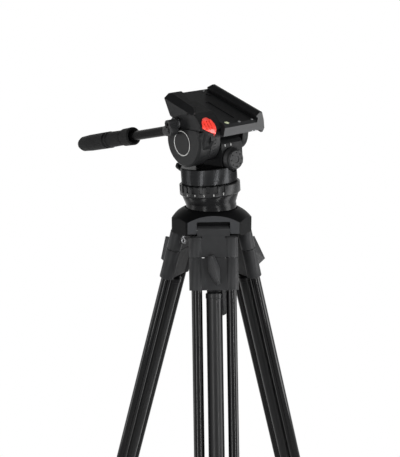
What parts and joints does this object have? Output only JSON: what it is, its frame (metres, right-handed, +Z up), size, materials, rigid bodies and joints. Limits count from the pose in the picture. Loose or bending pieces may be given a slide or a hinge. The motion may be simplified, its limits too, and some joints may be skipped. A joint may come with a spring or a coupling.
{
  "type": "tripod with fluid head",
  "caption": "Black video tripod with twin-tube legs and a bowl-mounted fluid head with an open plate bed, pan bar and drag controls.",
  "frame": {"origin": "floor point under the centre of the bowl", "axes": "+Z up; the front leg points to -Y and +X is to the right seen from the front"},
  "size_m": [0.4167, 0.4104, 0.8774],
  "materials": {
    "crown": "satin",
    "steel": "satin",
    "ball": "gloss",
    "handle": "moulded",
    "pan_metal": "anodised",
    "head_plastic": "fine grain",
    "cover_plastic": "fine grain",
    "bed_metal": "satin",
    "knob_plastic": "fine grain",
    "red_plastic": "moulded",
    "badge": "satin",
    "vial": "clear",
    "tube_metal": "gloss anodised",
    "block_plastic": "fine grain",
    "lever_plastic": "fine grain",
    "grip_rubber": "matte",
    "foot_rubber": "matte"
  },
  "bodies": {
    "stand": {"crown": "crown", "hinge_pins": "steel", "strap_eye": "steel"},
    "leveller": {"levelling_washer": "steel"},
    "ball": {"half_ball": "ball", "clamp_stud": "steel", "pan_spindle": "steel"},
    "tie_down": {"tie_down_handle": "handle"},
    "pan_drag": {"pan_drag_ring": "head_plastic"},
    "pan": {"pan_housing": "pan_metal", "tilt_support": "head_plastic", "tilt_axle": "steel"},
    "balance": {"counterbalance_knob": "knob_plastic"},
    "tilt_drag": {"tilt_drag_ring": "knob_plastic"},
    "tilt": {"tilt_housing": "head_plastic", "side_cover": "cover_plastic", "badge_ring": "badge", "platform": "bed_metal", "right_arm": "head_plastic", "bubble_level": "vial", "rosette": "steel", "button_spring": "steel"},
    "plate_lock": {"plate_lock_lever": "head_plastic"},
    "button": {"release_button": "red_plastic"},
    "bar": {"bar_clamp": "knob_plastic", "pan_bar": "tube_metal", "grip": "grip_rubber"},
    "bar_lock": {"bar_screw": "handle"},
    "pan_brake": {"pan_brake_lever": "handle"},
    "tilt_brake": {"tilt_brake_lever": "handle"},
    "leg_front": {"hinge_block_front": "block_plastic", "clamp_block_front": "block_plastic", "outer_tubes_front": "tube_metal", "lower_yoke_front": "block_plastic"},
    "block_lock_front": {"block_lever_front": "lever_plastic"},
    "yoke_lock_front": {"yoke_lever_front": "lever_plastic"},
    "middle_front": {"middle_tube_front": "tube_metal"},
    "collar_front": {"twist_collar_front": "handle"},
    "lower_front": {"lower_tube_front": "tube_metal", "foot_front": "foot_rubber"},
    "leg_right": {"hinge_block_right": "block_plastic", "clamp_block_right": "block_plastic", "outer_tubes_right": "tube_metal", "lower_yoke_right": "block_plastic"},
    "block_lock_right": {"block_lever_right": "lever_plastic"},
    "yoke_lock_right": {"yoke_lever_right": "lever_plastic"},
    "middle_right": {"middle_tube_right": "tube_metal"},
    "collar_right": {"twist_collar_right": "handle"},
    "lower_right": {"lower_tube_right": "tube_metal", "foot_right": "foot_rubber"},
    "leg_left": {"hinge_block_left": "block_plastic", "clamp_block_left": "block_plastic", "outer_tubes_left": "tube_metal", "lower_yoke_left": "block_plastic"},
    "block_lock_left": {"block_lever_left": "lever_plastic"},
    "yoke_lock_left": {"yoke_lever_left": "lever_plastic"},
    "middle_left": {"middle_tube_left": "tube_metal"},
    "collar_left": {"twist_collar_left": "handle"},
    "lower_left": {"lower_tube_left": "tube_metal", "foot_left": "foot_rubber"}
  },
  "joints": [
    {"name": "ball_swing", "type": "hinge", "parent": "stand", "child": "leveller", "pos_m": [0, 0, 0.70504], "axis": [0, 0, 1], "continuous": true},
    {"name": "ball_lean", "type": "hinge", "parent": "leveller", "child": "ball", "pos_m": [0, 0, 0.70504], "axis": [0, -1, 0], "range_deg": [-4, 8]},
    {"name": "tie_down_turn", "type": "hinge", "parent": "ball", "child": "tie_down", "pos_m": [0, 0, 0.70504], "axis": [-0.0698, 0, 0.9976], "range_deg": [0, 360]},
    {"name": "pan_drag_turn", "type": "hinge", "parent": "ball", "child": "pan_drag", "pos_m": [0, 0, 0.70504], "axis": [-0.0698, 0, 0.9976], "range_deg": [-45, 90]},
    {"name": "pan_turn", "type": "hinge", "parent": "ball", "child": "pan", "pos_m": [0, 0, 0.70504], "axis": [-0.0698, 0, 0.9976], "continuous": true},
    {"name": "tilt", "type": "hinge", "parent": "pan", "child": "tilt", "pos_m": [-0.00718, 0, 0.80779], "axis": [0.807, 0.5878, 0.0564], "range_deg": [-60, 22]},
    {"name": "tilt_drag_turn", "type": "hinge", "parent": "pan", "child": "tilt_drag", "pos_m": [-0.00718, 0, 0.80779], "axis": [0.807, 0.5878, 0.0564], "range_deg": [-60, 60]},
    {"name": "balance_turn", "type": "hinge", "parent": "pan", "child": "balance", "pos_m": [0.00877, 0.00999, 0.77683], "axis": [0.5864, -0.809, 0.041], "range_deg": [-120, 150]},
    {"name": "plate_lock_swing", "type": "hinge", "parent": "tilt", "child": "plate_lock", "pos_m": [-0.03602, -0.02807, 0.80372], "axis": [0.135, -0.2767, 0.9514], "range_deg": [0, 40]},
    {"name": "button_press", "type": "slide", "parent": "tilt", "child": "button", "axis": [-0.4729, 0.7006, -0.5343], "range_m": [0, 0.0025], "stiffness_N_per_m": 800, "springref_m": -0.002, "deforming": ["button_spring"]},
    {"name": "bar_swing", "type": "hinge", "parent": "tilt", "child": "bar", "pos_m": [-0.01541, 0.00891, 0.83257], "axis": [-0.807, -0.5878, -0.0564], "range_deg": [-60, 25]},
    {"name": "bar_screw_turn", "type": "hinge", "parent": "bar", "child": "bar_lock", "pos_m": [-0.01541, 0.00891, 0.83257], "axis": [-0.807, -0.5878, -0.0564], "range_deg": [0, 270]},
    {"name": "pan_brake_swing", "type": "hinge", "parent": "pan", "child": "pan_brake", "pos_m": [-0.03018, 0.03094, 0.75105], "axis": [-0.6545, 0.7547, -0.0458], "range_deg": [-45, 5]},
    {"name": "tilt_brake_swing", "type": "hinge", "parent": "pan", "child": "tilt_brake", "pos_m": [-0.01665, 0.02897, 0.78307], "axis": [-0.5864, 0.809, -0.041], "range_deg": [0, 55]},
    {"name": "fold_front", "type": "hinge", "parent": "stand", "child": "leg_front", "pos_m": [0, -0.0395, 0.67854], "axis": [-1, 0, 0], "range_deg": [-15.3, 35]},
    {"name": "block_lever_front", "type": "hinge", "parent": "leg_front", "child": "block_lock_front", "pos_m": [-0.0035, -0.05111, 0.6361], "axis": [0, -0.9646, 0.2639], "range_deg": [-60, 45]},
    {"name": "yoke_lever_front", "type": "hinge", "parent": "leg_front", "child": "yoke_lock_front", "pos_m": [0, -0.19387, 0.11428], "axis": [0, -0.9646, 0.2639], "range_deg": [-60, 45]},
    {"name": "middle_slide_front", "type": "slide", "parent": "leg_front", "child": "middle_front", "axis": [0, -0.2639, -0.9646], "range_m": [0, 0.43]},
    {"name": "collar_turn_front", "type": "hinge", "parent": "middle_front", "child": "collar_front", "pos_m": [0, -0.0395, 0.67854], "axis": [0, 0.2639, 0.9646], "range_deg": [0, 90]},
    {"name": "lower_slide_front", "type": "slide", "parent": "middle_front", "child": "lower_front", "axis": [0, -0.2639, -0.9646], "range_m": [0, 0.42]},
    {"name": "fold_right", "type": "hinge", "parent": "stand", "child": "leg_right", "pos_m": [0.03421, 0.01975, 0.67854], "axis": [0.5, -0.866, 0], "range_deg": [-15.3, 35]},
    {"name": "block_lever_right", "type": "hinge", "parent": "leg_right", "child": "block_lock_right", "pos_m": [0.04601, 0.02252, 0.6361], "axis": [0.8353, 0.4823, 0.2639], "range_deg": [-60, 45]},
    {"name": "yoke_lever_right", "type": "hinge", "parent": "leg_right", "child": "yoke_lock_right", "pos_m": [0.16789, 0.09693, 0.11428], "axis": [0.8353, 0.4823, 0.2639], "range_deg": [-60, 45]},
    {"name": "middle_slide_right", "type": "slide", "parent": "leg_right", "child": "middle_right", "axis": [0.2285, 0.1319, -0.9646], "range_m": [0, 0.43]},
    {"name": "collar_turn_right", "type": "hinge", "parent": "middle_right", "child": "collar_right", "pos_m": [0.03421, 0.01975, 0.67854], "axis": [-0.2285, -0.1319, 0.9646], "range_deg": [0, 90]},
    {"name": "lower_slide_right", "type": "slide", "parent": "middle_right", "child": "lower_right", "axis": [0.2285, 0.1319, -0.9646], "range_m": [0, 0.42]},
    {"name": "fold_left", "type": "hinge", "parent": "stand", "child": "leg_left", "pos_m": [-0.03421, 0.01975, 0.67854], "axis": [0.5, 0.866, 0], "range_deg": [-15.3, 35]},
    {"name": "block_lever_left", "type": "hinge", "parent": "leg_left", "child": "block_lock_left", "pos_m": [-0.04251, 0.02859, 0.6361], "axis": [-0.8353, 0.4823, 0.2639], "range_deg": [-60, 45]},
    {"name": "yoke_lever_left", "type": "hinge", "parent": "leg_left", "child": "yoke_lock_left", "pos_m": [-0.16789, 0.09693, 0.11428], "axis": [-0.8353, 0.4823, 0.2639], "range_deg": [-60, 45]},
    {"name": "middle_slide_left", "type": "slide", "parent": "leg_left", "child": "middle_left", "axis": [-0.2285, 0.1319, -0.9646], "range_m": [0, 0.43]},
    {"name": "collar_turn_left", "type": "hinge", "parent": "middle_left", "child": "collar_left", "pos_m": [-0.03421, 0.01975, 0.67854], "axis": [0.2285, -0.1319, 0.9646], "range_deg": [0, 90]},
    {"name": "lower_slide_left", "type": "slide", "parent": "middle_left", "child": "lower_left", "axis": [-0.2285, 0.1319, -0.9646], "range_m": [0, 0.42]}
  ]
}
